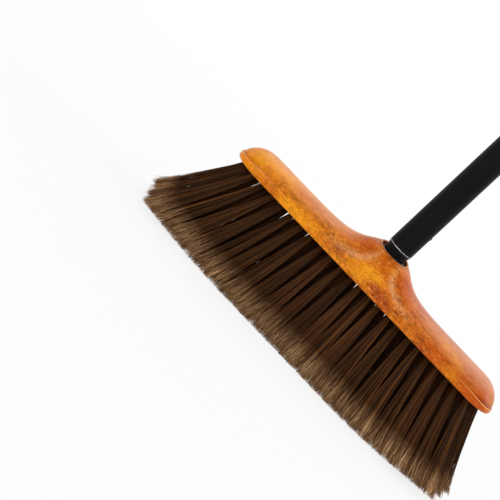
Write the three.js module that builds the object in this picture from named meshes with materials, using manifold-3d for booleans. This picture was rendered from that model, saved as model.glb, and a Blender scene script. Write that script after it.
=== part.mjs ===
// Long-handled broom: a shaped wooden head with four rows of bristle tufts,
// on a steel pole that screws into it.
// Millimetres, +Z up along the pole, +X along the head, origin on the floor under the pole.
import * as THREE from 'three';
import { mergeVertices } from 'three/addons/utils/BufferGeometryUtils.js';
import Module from 'manifold-3d';

const wasm = await Module();
wasm.setup();

// Driving dimensions: wooden head
const headLength = 280;
const headDepth = 44;
const armHeight = 19.5; // underside to the ridge of an arm
const neckHeight = 34.5; // underside to the rim of the neck, at its sides
const rimTilt = 1.5; // how much lower the rim is at its front, and higher at its back
const rimRadius = 15.2; // outer edge of the neck's rim
const flareLength = 14.7; // how far the neck spreads along the arms
const noseLength = 24.5; // rounded end of an arm, seen from above
const bandHeight = 7.4; // upright edge under the crease, on the arms
const bandRise = 10.6; // how much higher that edge stands in front of the neck
const bandRiseReach = 34; // how far along the head it stays raised
const bandEndDrop = 2.4; // how much lower it is at the ends of the head
const bandEndReach = 42; // how far from the ends it starts to fall
const edgeChamfer = 1.2;

// Driving dimensions: bristles
const bristleLength = 79; // underside of the head to the floor
const tuftPitch = 10.65; // tuft to tuft along a row
const rowPitch = 9.5; // row to row across the head
const stripWidth = 7.6; // slice of the block that carries one row
const stripDepth = 3;
const stripEdgeWall = 2.8; // wood left between a slice and the outline
const tuftMargin = 3.4; // last tuft's centre to the end of its slice
const rootSpread = 1.8; // outer strands to the middle of their tuft, at the root
const tipSpreadAlong = 3.4; // the same at the tips, along the row
const tipSpreadAcross = 6.3; // and across it
const strandsAround = 4; // strands round the middle one of a tuft
const strandRootRadius = 0.8;
const strandTipRadius = 1.6;
const strandEmbed = 1.5; // how deep a strand starts inside its slice
const tuftTurn = 2.4; // radians each tuft is turned from the one before
const endLean = 43.5; // how far the strands at the ends of the head lean out
const tipRowPitch = 18.5; // row to row at the tips
const flatHalf = 76; // half of the tip line that lies flat on the floor
const cornerRise = 17; // height of the rounded corners at the ends of the tip line

// Driving dimensions: thread, socket and washer
const threadPitch = 5;
const threadCrestRadius = 9.4;
const threadDepth = 1.5;
const threadRootWidth = 2.8;
const threadCrestWidth = 1.4;
const threadLength = 20.5; // first to last turn, middle to middle
const threadRelief = 3; // plain neck between the thread and the collar
const plugTipLength = 25; // collar to the end of the plug
const insertRecess = 2.6; // sides of the rim to the face of the socket
const insertFlangeRadius = 12.85;
const insertFlangeHeight = 2.5;
const insertBodyRadius = 11.8;
const insertLength = 26.5;
const insertFloor = 2;
const washerRadius = 11.4;
const washerHeight = 1;

// Driving dimensions: pole and plug
const poleRadius = 11;
const poleWall = 0.7;
const poleLength = 1200;
const collarRadius = 9.7;
const collarHeight = 6.6;
const collarTaper = 2; // height of the slope from the pole down to the collar
const shankLength = 32; // part of the plug inside the pole
const plugBoreRadius = 5.5;
const plugCrown = 3; // closed end of the plug's bore
const nubHeight = 22; // lower end of the pole to the snap nub
const nubRadius = 2.2;
const nubProud = 0.5;

// Driving dimensions: grip
const gripLength = 84;
const gripCrown = 6; // end of the pole to the top of the dome
const gripNeckRadius = 12.2;
const gripRibDepth = 0.6;
const gripRibPitch = 15;
const gripRibs = 3;
const gripSkirtRadius = 14;
const gripSkirtHeight = 9;
const gripLipHeight = 1.8; // upright edge of the skirt
const gripDomeHeight = 11;
const gripDomeRadius = 12.6;

// Clearances
const fitGap = 0.3; // between pieces that are fixed together
const seatGap = 0.2; // between faces that close on each other
const threadGap = 0.4; // between the threads

// Facets
const roundSides = 36;
const threadSteps = 18; // a turn
const ringCount = 12; // rings between the neck's rim and the outline
const armSteps = 12; // outline points along half an arm
const noseSteps = 7;
const strandSides = 3;
const nubSides = 10;
const gripSides = 32;
const gripRibSteps = 6; // points along one rib
const gripDomeSteps = 6;
const ringClustering = 0.65; // draws the rings towards the rim and the outline

// Exponents of the curves
const crownPower = 2.4; // fall of the head's top from its ridge to its crease
const crownRound = 0.7; // how round that fall ends
const flarePower = 1.25; // fall of the neck to the arms
const leanPower = 1.3; // growth of the lean towards the ends
const cornerPower = 4.5; // rounding of the tip line's corners

// Places worked out from the above
const halfLength = headLength / 2;
const halfDepth = headDepth / 2;
const undersideZ = bristleLength;
const rimZ = undersideZ + neckHeight;
const insertTopZ = rimZ - insertRecess;
const washerZ = insertTopZ + seatGap;
const collarZ = washerZ + washerHeight + seatGap;
const poleZ = collarZ + collarHeight + fitGap;
const poleTopZ = poleZ + poleLength;
const gripTopZ = poleTopZ + fitGap + gripCrown;

// A closed mesh as a solid that can be joined and cut
function solidOf(geometry) {
  const bare = geometry.clone();
  bare.deleteAttribute('normal');
  bare.deleteAttribute('uv');
  const merged = mergeVertices(bare);
  const corners = merged.index.array;
  const triangles = [];
  for (let i = 0; i < corners.length; i += 3) {
    const [a, b, c] = corners.slice(i, i + 3);
    if (a !== b && b !== c && c !== a) {
      triangles.push(a, b, c);
    }
  }
  return new wasm.Manifold(new wasm.Mesh({
    numProp: 3,
    vertProperties: new Float32Array(merged.attributes.position.array),
    triVerts: new Uint32Array(triangles),
  }));
}

function geometryOf(solid) {
  const mesh = solid.getMesh();
  const geometry = new THREE.BufferGeometry();
  geometry.setAttribute('position', new THREE.Float32BufferAttribute(mesh.vertProperties, 3));
  geometry.setIndex(Array.from(mesh.triVerts));
  geometry.computeVertexNormals();
  return geometry;
}

// Vertices and triangles, listed by hand, as a geometry
function meshOf(points, triangles) {
  const geometry = new THREE.BufferGeometry();
  geometry.setAttribute('position', new THREE.Float32BufferAttribute(points.flat(), 3));
  geometry.setIndex(triangles.flat());
  geometry.computeVertexNormals();
  return geometry;
}

// Rings of points, lowest first and anticlockwise from above, skinned into triangles
function skinRings(rings, triangles) {
  const count = rings[0].length;
  for (let k = 0; k + 1 < rings.length; k += 1) {
    for (let i = 0; i < count; i += 1) {
      const next = (i + 1) % count;
      triangles.push([rings[k][i], rings[k][next], rings[k + 1][next]]);
      triangles.push([rings[k][i], rings[k + 1][next], rings[k + 1][i]]);
    }
  }
}

// A profile of [radius, height] pairs, outer side upwards, turned round the pole's axis
function turned(profile, sides = roundSides) {
  const points = profile.map(([radius, height]) => new THREE.Vector2(radius, height));
  return new THREE.LatheGeometry(points, sides).rotateX(Math.PI / 2);
}

function box(length, depth, height, x, y, lowZ) {
  return new THREE.BoxGeometry(length, depth, height).translate(x, y, lowZ + height / 2);
}

// Shape of the head: how far a place is from the ridge (0) to the outline (1)
function edgeShare(x, y) {
  const alongNose = Math.max(0, (Math.abs(x) - (halfLength - noseLength)) / noseLength);
  return Math.hypot(y / halfDepth, alongNose);
}

// Fall of the head's top, 0 on the ridge and 1 at the crease, ending upright
function crownFall(share) {
  return 1 - Math.max(0, 1 - share ** crownPower) ** crownRound;
}

function creaseHeight(x) {
  const past = Math.max(0, 1 - (halfLength - Math.abs(x)) / bandEndReach);
  const drop = bandEndDrop * past ** 2 * (3 - 2 * past);
  return bandHeight + bandRise * Math.exp(-((x / bandRiseReach) ** 2)) - drop;
}

function ridgeHeight(x, y) {
  const radius = Math.hypot(x, y);
  const out = Math.max(0, radius - rimRadius) / flareLength;
  const rimHeight = neckHeight + rimTilt * (y / radius);
  return armHeight + (rimHeight - armHeight) * Math.exp(-(out ** flarePower));
}

// Outline of the head from above, anticlockwise from the end of the +X arm
function headOutline() {
  const quarter = [];
  for (let i = 0; i < noseSteps; i += 1) {
    const angle = (i / noseSteps) * (Math.PI / 2);
    quarter.push([halfLength - noseLength * (1 - Math.cos(angle)), halfDepth * Math.sin(angle)]);
  }
  for (let i = 0; i <= armSteps; i += 1) {
    quarter.push([(halfLength - noseLength) * (1 - i / armSteps), halfDepth]);
  }
  const back = quarter.slice(0, -1).reverse().map(([x, y]) => [-x, y]);
  const half = quarter.concat(back);
  return half.concat(half.slice(1, -1).map(([x, y]) => [-x, -y]));
}

// One ray from the neck's rim to the outline, as heights over the plan
function headRay([outX, outY]) {
  const reach = Math.hypot(outX, outY);
  const rimX = (outX / reach) * rimRadius;
  const rimY = (outY / reach) * rimRadius;
  const rimFall = crownFall(edgeShare(rimX, rimY));
  const ray = [];
  for (let k = 0; k <= ringCount; k += 1) {
    const even = k / ringCount;
    const share = even - (ringClustering * Math.sin(2 * Math.PI * even)) / (2 * Math.PI);
    const x = rimX + (outX - rimX) * share;
    const y = rimY + (outY - rimY) * share;
    const fall = (crownFall(edgeShare(x, y)) - rimFall) / (1 - rimFall);
    const crease = creaseHeight(x);
    const crown = ridgeHeight(x, y) - crease;
    ray.push([x, y, undersideZ + crease + crown * (1 - Math.min(1, fall))]);
  }
  return ray;
}

function headBody() {
  const outline = headOutline();
  const inLength = (halfLength - edgeChamfer) / halfLength;
  const inDepth = (halfDepth - edgeChamfer) / halfDepth;
  const rays = outline.map(headRay);
  const levels = [
    outline.map(([x, y]) => [x * inLength, y * inDepth, undersideZ]),
    outline.map(([x, y]) => [x, y, undersideZ + edgeChamfer]),
  ];
  for (let k = ringCount; k >= 0; k -= 1) {
    levels.push(rays.map((ray) => ray[k]));
  }
  const points = levels.flat();
  const rings = levels.map((level, n) => level.map((_, i) => n * outline.length + i));
  const triangles = [];
  skinRings(rings, triangles);
  const low = points.push([0, 0, undersideZ]) - 1;
  const high = points.push([0, 0, rimZ]) - 1;
  const top = rings[rings.length - 1];
  for (let i = 0; i < outline.length; i += 1) {
    const next = (i + 1) % outline.length;
    triangles.push([low, rings[0][next], rings[0][i]]);
    triangles.push([high, top[i], top[next]]);
  }
  return meshOf(points, triangles);
}

// Rows of tufts: their place, the length of their slice and the places of their tufts,
// every other row half a pitch on
function bristleRows() {
  const names = ['bristle_row_front', 'bristle_row_mid_front', 'bristle_row_mid_back', 'bristle_row_back'];
  return names.map((name, i) => {
    const place = i - (names.length - 1) / 2;
    const y = place * rowPitch;
    const outerEdge = (Math.abs(y) + stripWidth / 2) / halfDepth;
    const noseShare = Math.sqrt(1 - outerEdge ** 2);
    const stripHalf = halfLength - noseLength * (1 - noseShare) - stripEdgeWall;
    const offset = (i % 2) / 2;
    const last = Math.floor((stripHalf - tuftMargin) / tuftPitch - offset) + offset;
    const tufts = Array.from({ length: 2 * last + 1 }, (_, n) => n - last);
    return { name, y, tipY: place * tipRowPitch, stripHalf, tufts };
  });
}

const rows = bristleRows();
const lastTuft = Math.max(...rows.flatMap((row) => row.tufts)) * tuftPitch;
const tipSpan = lastTuft + endLean + tipSpreadAlong;

function headBlock() {
  const seatZ = insertTopZ - insertFlangeHeight - fitGap;
  const boreZ = insertTopZ - insertLength - fitGap;
  const bodyBore = insertBodyRadius + fitGap;
  const flangeBore = insertFlangeRadius + fitGap;
  const aboveZ = rimZ + rimTilt + fitGap;
  const bore = turned([
    [0, boreZ], [bodyBore, boreZ], [bodyBore, seatZ], [flangeBore, seatZ], [flangeBore, aboveZ], [0, aboveZ],
  ]);
  let block = solidOf(headBody()).subtract(solidOf(bore));
  for (const row of rows) {
    const slotLength = 2 * (row.stripHalf + fitGap);
    const slotDepth = stripWidth + 2 * fitGap;
    const slot = box(slotLength, slotDepth, stripDepth + 2 * fitGap, 0, row.y, undersideZ - fitGap);
    block = block.subtract(solidOf(slot));
  }
  return geometryOf(block);
}

// Height at which a strand aimed at this place on the floor is trimmed
function trimHeight(x) {
  const past = Math.max(0, Math.abs(x) - flatHalf) / (tipSpan - flatHalf);
  return cornerRise * past ** cornerPower;
}

// One strand from inside its slice to its trimmed tip
function strand(rootX, rootY, aimX, aimY) {
  const rootZ = undersideZ + strandEmbed;
  const tipZ = trimHeight(aimX);
  const share = tipZ / rootZ;
  const tip = [aimX + (rootX - aimX) * share, aimY + (rootY - aimY) * share, tipZ];
  const points = [];
  const ring = (x, y, z, radius) => Array.from({ length: strandSides }, (_, i) => {
    const angle = (i / strandSides) * 2 * Math.PI;
    return points.push([x + radius * Math.cos(angle), y + radius * Math.sin(angle), z]) - 1;
  });
  const low = ring(...tip, strandTipRadius);
  const high = ring(rootX, rootY, rootZ, strandRootRadius);
  const triangles = [];
  skinRings([low, high], triangles);
  for (let i = 1; i + 1 < strandSides; i += 1) {
    triangles.push([low[0], low[i + 1], low[i]], [high[0], high[i], high[i + 1]]);
  }
  return meshOf(points, triangles);
}

// One row: a middle strand and a turned ring of strands in each tuft, alike on both arms
function bristleRow(row) {
  let solid = solidOf(box(2 * row.stripHalf, stripWidth, stripDepth, 0, row.y, undersideZ));
  for (const n of row.tufts) {
    const arm = n < 0 ? -1 : 1;
    const tuftX = n * tuftPitch;
    const aimX = tuftX + arm * endLean * (Math.abs(tuftX) / lastTuft) ** leanPower;
    solid = solid.add(solidOf(strand(tuftX, row.y, aimX, row.tipY)));
    for (let i = 0; i < strandsAround; i += 1) {
      const angle = ((i + 0.5) / strandsAround) * 2 * Math.PI + Math.abs(n) * tuftTurn;
      const along = arm * Math.cos(angle);
      const across = Math.sin(angle);
      const hair = strand(
        tuftX + along * rootSpread,
        row.y + across * rootSpread,
        aimX + along * tipSpreadAlong,
        row.tipY + across * tipSpreadAcross,
      );
      solid = solid.add(solidOf(hair));
    }
  }
  return geometryOf(solid);
}

// A screw ridge of four-cornered section, right-handed, turning round the pole's axis
function screwRidge(innerRadius, outerRadius, rootWidth, crestWidth, lowZ, length) {
  const steps = Math.round((length / threadPitch) * threadSteps);
  const points = [];
  const rings = [];
  for (let i = 0; i <= steps; i += 1) {
    const z = lowZ + (i / steps) * length;
    const angle = ((z - collarZ) / threadPitch) * 2 * Math.PI;
    const section = [
      [innerRadius, -rootWidth / 2], [innerRadius, rootWidth / 2],
      [outerRadius, crestWidth / 2], [outerRadius, -crestWidth / 2],
    ];
    rings.push(section.map(([radius, up]) => (
      points.push([radius * Math.cos(angle), radius * Math.sin(angle), z + up]) - 1
    )));
  }
  const triangles = [];
  skinRings(rings, triangles);
  const [a, b, c, d] = rings[0];
  const [e, f, g, h] = rings[steps];
  triangles.push([a, d, c], [a, c, b], [e, f, g], [e, g, h]);
  return meshOf(points, triangles);
}

const threadRootRadius = threadCrestRadius - threadDepth;
const threadLowZ = collarZ - threadRelief - threadLength;

function socketInsert() {
  const lowZ = insertTopZ - insertLength;
  const flangeZ = insertTopZ - insertFlangeHeight;
  const cavityZ = lowZ + insertFloor;
  const aboveZ = insertTopZ + fitGap;
  const coreBore = threadRootRadius + threadGap;
  const body = turned([
    [0, lowZ], [insertBodyRadius, lowZ], [insertBodyRadius, flangeZ],
    [insertFlangeRadius, flangeZ], [insertFlangeRadius, insertTopZ], [0, insertTopZ],
  ]);
  const cavity = turned([[0, cavityZ], [coreBore, cavityZ], [coreBore, aboveZ], [0, aboveZ]]);
  const grooveLowZ = cavityZ + threadRootWidth / 2 + threadGap;
  const groove = screwRidge(
    coreBore - threadGap,
    threadCrestRadius + threadGap,
    threadRootWidth + 2 * threadGap,
    threadCrestWidth + 2 * threadGap,
    grooveLowZ,
    aboveZ + threadPitch - grooveLowZ,
  );
  return geometryOf(solidOf(body).subtract(solidOf(cavity)).subtract(solidOf(groove)));
}

function collarWasher() {
  const bore = threadCrestRadius + threadGap;
  const topZ = washerZ + washerHeight;
  return turned([
    [bore, washerZ], [washerRadius, washerZ], [washerRadius, topZ], [bore, topZ], [bore, washerZ],
  ]);
}

const nubZ = poleZ + nubHeight;

function threadedTip() {
  const lowZ = collarZ - plugTipLength;
  const taperZ = poleZ - fitGap - collarTaper;
  const lipZ = poleZ - fitGap;
  const shankRadius = poleRadius - poleWall - fitGap;
  const topZ = poleZ + shankLength;
  const body = turned([
    [0, topZ - plugCrown], [plugBoreRadius, topZ - plugCrown], [plugBoreRadius, lowZ],
    [threadRootRadius, lowZ], [threadRootRadius, collarZ], [collarRadius, collarZ], [collarRadius, taperZ],
    [poleRadius - fitGap, lipZ], [shankRadius, lipZ], [shankRadius, topZ], [0, topZ],
  ]);
  const ridge = screwRidge(
    threadRootRadius - threadGap,
    threadCrestRadius,
    threadRootWidth,
    threadCrestWidth,
    threadLowZ,
    threadLength,
  );
  const nubReach = poleRadius + nubProud - plugBoreRadius - threadGap;
  const nub = new THREE.CylinderGeometry(nubRadius, nubRadius, nubReach, nubSides)
    .rotateZ(Math.PI / 2)
    .translate(poleRadius + nubProud - nubReach / 2, 0, nubZ);
  return geometryOf(solidOf(body).add(solidOf(ridge)).add(solidOf(nub)));
}

function poleTube() {
  const inner = poleRadius - poleWall;
  const tube = turned([
    [inner, poleZ], [poleRadius, poleZ], [poleRadius, poleTopZ], [inner, poleTopZ], [inner, poleZ],
  ]);
  const holeRadius = nubRadius + fitGap;
  const hole = new THREE.CylinderGeometry(holeRadius, holeRadius, poleRadius, nubSides)
    .rotateZ(Math.PI / 2)
    .translate(poleRadius, 0, nubZ);
  return geometryOf(solidOf(tube).subtract(solidOf(hole)));
}

function grip() {
  const bore = poleRadius + fitGap;
  const lowZ = gripTopZ - gripLength;
  const skirtZ = lowZ + gripSkirtHeight;
  const ribsTopZ = skirtZ + gripRibs * gripRibPitch;
  const domeZ = gripTopZ - gripDomeHeight;
  const profile = [[0, poleTopZ + fitGap], [bore, poleTopZ + fitGap], [bore, lowZ]];
  profile.push([gripSkirtRadius, lowZ], [gripSkirtRadius, lowZ + gripLipHeight]);
  profile.push([gripNeckRadius + gripRibDepth, (lowZ + gripLipHeight + skirtZ) / 2]);
  const ribSteps = gripRibSteps * gripRibs;
  for (let i = 0; i <= ribSteps; i += 1) {
    const wave = (1 - Math.cos((i / ribSteps) * gripRibs * 2 * Math.PI)) / 2;
    profile.push([gripNeckRadius + gripRibDepth * wave, skirtZ + (i / ribSteps) * (ribsTopZ - skirtZ)]);
  }
  for (let i = 0; i < gripDomeSteps; i += 1) {
    const angle = (i / gripDomeSteps) * (Math.PI / 2);
    profile.push([gripDomeRadius * Math.cos(angle), domeZ + gripDomeHeight * Math.sin(angle)]);
  }
  profile.push([0, gripTopZ]);
  return turned(profile, gripSides);
}

const stainedWood = new THREE.MeshStandardMaterial({ color: 0xc8701c, roughness: 0.35, metalness: 0 });
const blackPlastic = new THREE.MeshStandardMaterial({ color: 0x161617, roughness: 0.5, metalness: 0 });
const greyRubber = new THREE.MeshStandardMaterial({ color: 0x4a4a4a, roughness: 0.7, metalness: 0 });
const blackPaint = new THREE.MeshStandardMaterial({ color: 0x1c1c1d, roughness: 0.45, metalness: 0.1 });
const brownFibre = new THREE.MeshStandardMaterial({ color: 0x4f3520, roughness: 0.75, metalness: 0 });

const broom = new THREE.Group();

function place(name, geometry, material) {
  const mesh = new THREE.Mesh(geometry, material);
  mesh.name = name;
  broom.add(mesh);
}

place('head_block', headBlock(), stainedWood);
place('socket_insert', socketInsert(), blackPlastic);
for (const row of rows) {
  place(row.name, bristleRow(row), brownFibre);
}
place('collar_washer', collarWasher(), greyRubber);
place('threaded_tip', threadedTip(), blackPlastic);
place('pole_tube', poleTube(), blackPaint);
place('grip', grip(), blackPlastic);

export default broom;
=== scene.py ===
import math

import bmesh
import bpy
import numpy as np
from mathutils import Matrix, Vector


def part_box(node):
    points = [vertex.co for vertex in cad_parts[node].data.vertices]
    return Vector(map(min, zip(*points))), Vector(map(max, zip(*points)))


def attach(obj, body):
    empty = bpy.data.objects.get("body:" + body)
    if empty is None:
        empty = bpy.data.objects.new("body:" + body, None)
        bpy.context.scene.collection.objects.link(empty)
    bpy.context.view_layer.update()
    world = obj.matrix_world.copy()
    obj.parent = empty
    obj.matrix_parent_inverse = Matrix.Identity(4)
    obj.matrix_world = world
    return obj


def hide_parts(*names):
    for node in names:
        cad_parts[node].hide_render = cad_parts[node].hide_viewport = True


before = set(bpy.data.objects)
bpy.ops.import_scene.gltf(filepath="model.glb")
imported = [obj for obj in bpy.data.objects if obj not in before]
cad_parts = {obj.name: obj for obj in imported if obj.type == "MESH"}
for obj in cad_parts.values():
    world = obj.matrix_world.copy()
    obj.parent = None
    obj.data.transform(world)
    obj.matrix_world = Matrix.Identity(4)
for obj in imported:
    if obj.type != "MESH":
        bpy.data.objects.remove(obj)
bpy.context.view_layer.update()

mm = 0.001
mergeGap = 1e-6
noiseRange = (0.3, 0.7)  # most of a noise lies between these
scene = bpy.context.scene
scene.view_settings.view_transform = "Standard"

# The places that the frame gives
headLow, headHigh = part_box("head_block")
insertLow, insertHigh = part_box("socket_insert")
washerLow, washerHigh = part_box("collar_washer")
plugLow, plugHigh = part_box("threaded_tip")
tubeLow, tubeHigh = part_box("pole_tube")
gripLow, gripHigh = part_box("grip")
undersideZ = headLow.z
print("frame loaded, head", round(2 * headHigh.x / mm), "mm long")


# A colour as it looks on screen, 0 to 255
def shade(red, green, blue):
    parts = [c / 255 for c in (red, green, blue)]
    linear = [c / 12.92 if c <= 0.04045 else ((c + 0.055) / 1.055) ** 2.4 for c in parts]
    return (*linear, 1.0)


# A node whose inputs are given as plain values or as the sockets that feed them
def addNode(tree, kind, inputs=None, **settings):
    node = tree.nodes.new(kind)
    for name, value in settings.items():
        setattr(node, name, value)
    for key, value in (inputs or {}).items():
        if isinstance(value, bpy.types.NodeSocket):
            tree.links.new(value, node.inputs[key])
        else:
            node.inputs[key].default_value = value
    return node


def mathNode(tree, operation, *values, clamp=False):
    inputs = dict(enumerate(values))
    return addNode(tree, "ShaderNodeMath", inputs, operation=operation, use_clamp=clamp).outputs[0]


def mixColour(tree, share, first, second, blend="MIX"):
    inputs = {0: share, 6: first, 7: second}
    return addNode(tree, "ShaderNodeMix", inputs, data_type="RGBA", blend_type=blend).outputs[2]


def spread(tree, value, low, high, toLow=0.0, toHigh=1.0):
    inputs = {0: value, 1: low, 2: high, 3: toLow, 4: toHigh}
    return addNode(tree, "ShaderNodeMapRange", inputs, clamp=True).outputs[0]


def noiseOf(tree, place, scale, detail=2.0, stretch=(1.0, 1.0, 1.0), roughness=0.5):
    moved = addNode(tree, "ShaderNodeMapping", {"Vector": place, "Scale": stretch}).outputs[0]
    inputs = {"Vector": moved, "Scale": scale, "Detail": detail, "Roughness": roughness}
    return addNode(tree, "ShaderNodeTexNoise", inputs).outputs[0]


def newMaterial(name, sockets):
    material = bpy.data.materials.new(name)
    material.use_nodes = True
    shader = material.node_tree.nodes["Principled BSDF"]
    for key, value in sockets.items():
        shader.inputs[key].default_value = value
    return material, material.node_tree, shader


# Fine texture of moulded and painted surfaces: a height, and a tone that varies
def surfaceGrain():
    tree = bpy.data.node_groups.new("surfaceGrain", "ShaderNodeTree")
    for name, default in (("Grain Size", 0.4 * mm), ("Cloud Size", 20 * mm)):
        socket = tree.interface.new_socket(name, in_out="INPUT", socket_type="NodeSocketFloat")
        socket.default_value = default
    tree.interface.new_socket("Height", in_out="OUTPUT", socket_type="NodeSocketFloat")
    tree.interface.new_socket("Tone", in_out="OUTPUT", socket_type="NodeSocketFloat")
    entry = tree.nodes.new("NodeGroupInput")
    leave = tree.nodes.new("NodeGroupOutput")
    place = addNode(tree, "ShaderNodeTexCoord").outputs["Object"]
    grainScale = mathNode(tree, "DIVIDE", 1.0, entry.outputs["Grain Size"])
    cloudScale = mathNode(tree, "DIVIDE", 1.0, entry.outputs["Cloud Size"])
    grain = noiseOf(tree, place, grainScale, 2.0)
    cloud = noiseOf(tree, place, cloudScale, 4.0, roughness=0.6)
    tree.links.new(grain, leave.inputs["Height"])
    tree.links.new(spread(tree, cloud, *noiseRange), leave.inputs["Tone"])
    return tree


grainGroup = surfaceGrain()


# Dark finishes of the moulded, rubber and painted pieces
finishes = {
    "moulded_black": {
        "dark": shade(10, 10, 11), "light": shade(17, 17, 18), "rough": (0.3, 0.44), "shine": 0.07,
        "grainSize": 0.3 * mm, "cloudSize": 14 * mm, "bump": 0.08,
    },
    "grip_plastic": {
        "dark": shade(14, 14, 15), "light": shade(22, 22, 23), "rough": (0.48, 0.62), "shine": 0.12,
        "grainSize": 0.5 * mm, "cloudSize": 18 * mm, "bump": 0.3,
    },
    "grey_rubber": {
        "dark": shade(40, 40, 41), "light": shade(58, 58, 59), "rough": (0.66, 0.8), "shine": 0.25,
        "grainSize": 0.25 * mm, "cloudSize": 5 * mm, "bump": 0.25,
    },
    "black_paint": {
        "dark": shade(12, 12, 13), "light": shade(19, 19, 20), "rough": (0.4, 0.52), "shine": 0.06,
        "grainSize": 0.35 * mm, "cloudSize": 26 * mm, "bump": 0.1,
    },
}


# One of the finishes, with the grain group on its colour, roughness and normal
def grainedMaterial(name):
    look = finishes[name]
    material, tree, shader = newMaterial(name, {"Specular IOR Level": look["shine"]})
    grain = addNode(tree, "ShaderNodeGroup", node_tree=grainGroup)
    grain.inputs["Grain Size"].default_value = look["grainSize"]
    grain.inputs["Cloud Size"].default_value = look["cloudSize"]
    tone = grain.outputs["Tone"]
    tree.links.new(mixColour(tree, tone, look["dark"], look["light"]), shader.inputs["Base Color"])
    tree.links.new(spread(tree, tone, 0.0, 1.0, *look["rough"]), shader.inputs["Roughness"])
    inputs = {"Height": grain.outputs["Height"], "Strength": look["bump"], "Distance": look["grainSize"]}
    tree.links.new(addNode(tree, "ShaderNodeBump", inputs).outputs[0], shader.inputs["Normal"])
    return material, tree, shader


# An oval place on the head, seen from the front, with a ragged edge
def ovalShare(tree, x, height, ragged, edge, centre, halves, share):
    along = mathNode(tree, "DIVIDE", mathNode(tree, "SUBTRACT", x, centre[0]), halves[0])
    up = mathNode(tree, "DIVIDE", mathNode(tree, "SUBTRACT", height, centre[1]), halves[1])
    away = addNode(tree, "ShaderNodeCombineXYZ", {0: along, 1: up}).outputs[0]
    away = addNode(tree, "ShaderNodeVectorMath", {0: away}, operation="LENGTH").outputs["Value"]
    return spread(tree, mathNode(tree, "ADD", away, ragged), *edge, share, 0.0)


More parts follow.
